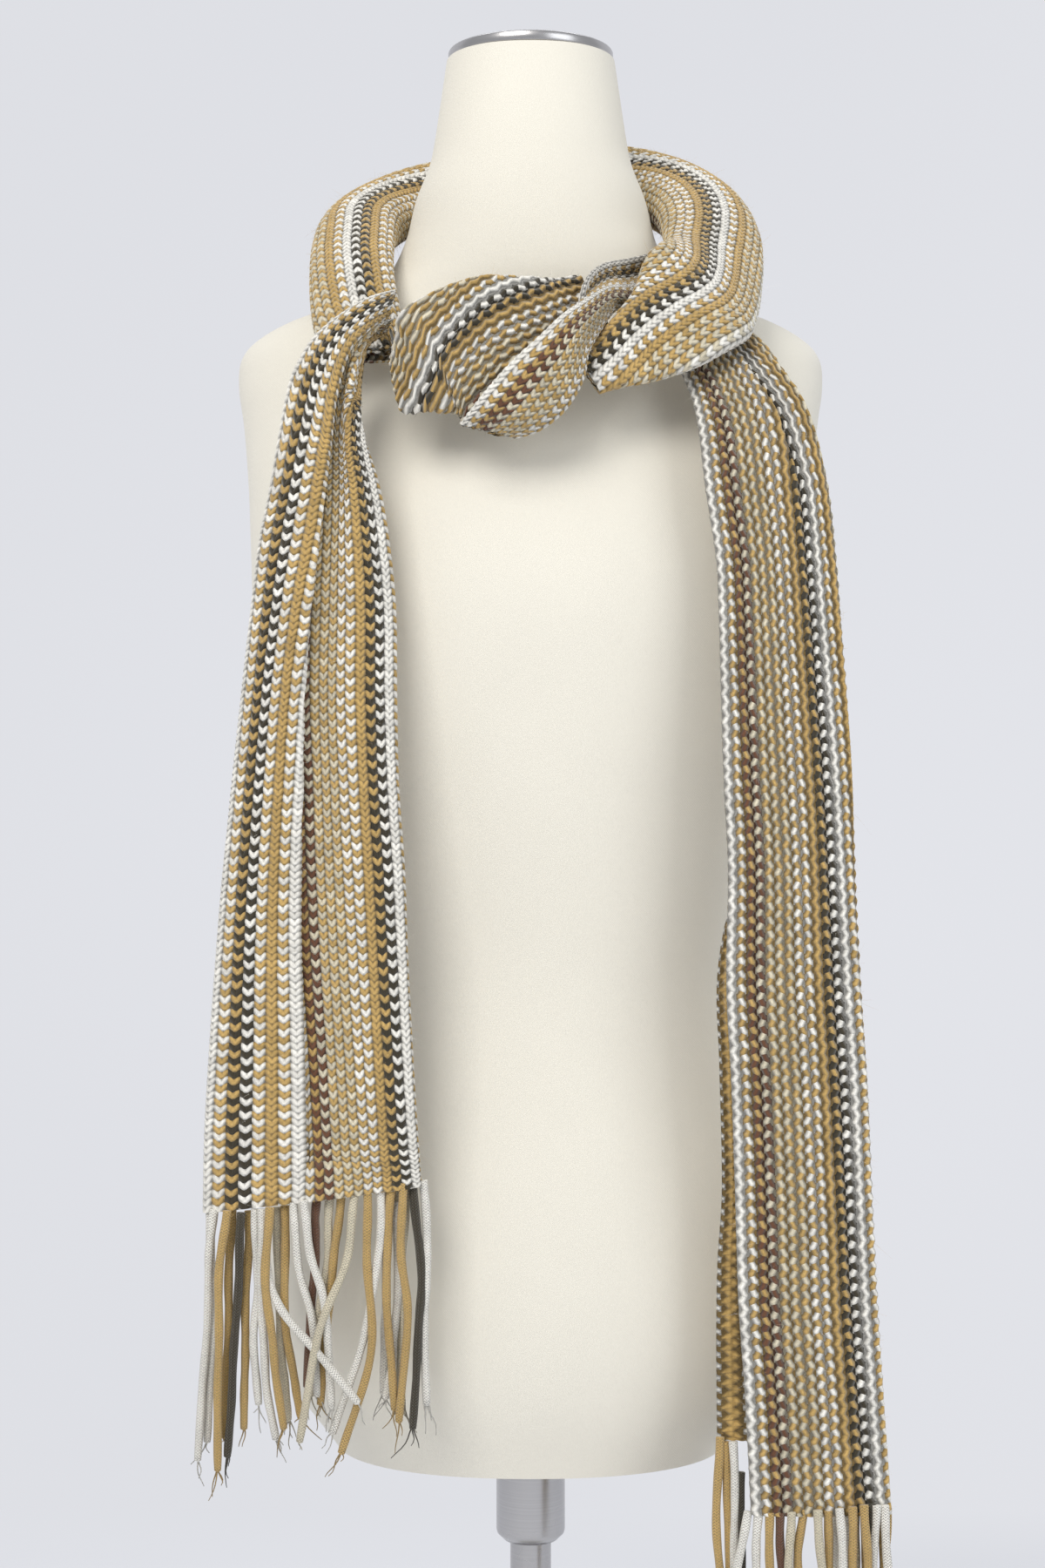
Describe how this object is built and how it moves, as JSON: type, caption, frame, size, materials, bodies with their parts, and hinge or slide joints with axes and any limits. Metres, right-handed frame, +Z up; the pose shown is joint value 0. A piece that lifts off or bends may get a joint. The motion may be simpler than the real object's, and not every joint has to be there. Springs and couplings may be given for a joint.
{
  "type": "knit scarf on a dress form and stand",
  "caption": "Long striped knitted scarf with knotted fringes, wound round the neck of a limbless dress form on a pole stand and looped at the front.",
  "frame": {"origin": "centre of the flat underside of the stand's round base, on the floor", "axes": "+Z up along the pole, front of the form and scarf towards -Y, viewer's right +X"},
  "size_m": [0.385, 0.35, 1.35],
  "materials": {
    "knit": "soft rope yarn in off-white, mustard, greyish cream, olive-black and dark brown stripes, slightly fuzzy",
    "jersey": "smooth cream jersey",
    "cap_metal": "brushed",
    "stand_paint": "satin"
  },
  "bodies": {
    "root": {"tail_left": "knit", "tail_right": "knit", "collar": "knit", "strand_front": "knit", "wrap_front": "knit", "fringe_left": "knit", "fringe_right": "knit", "form_torso": "jersey", "neck_cap": "cap_metal", "pole_socket": "cap_metal", "pole": "cap_metal", "stand_base": "stand_paint"}
  },
  "joints": []
}
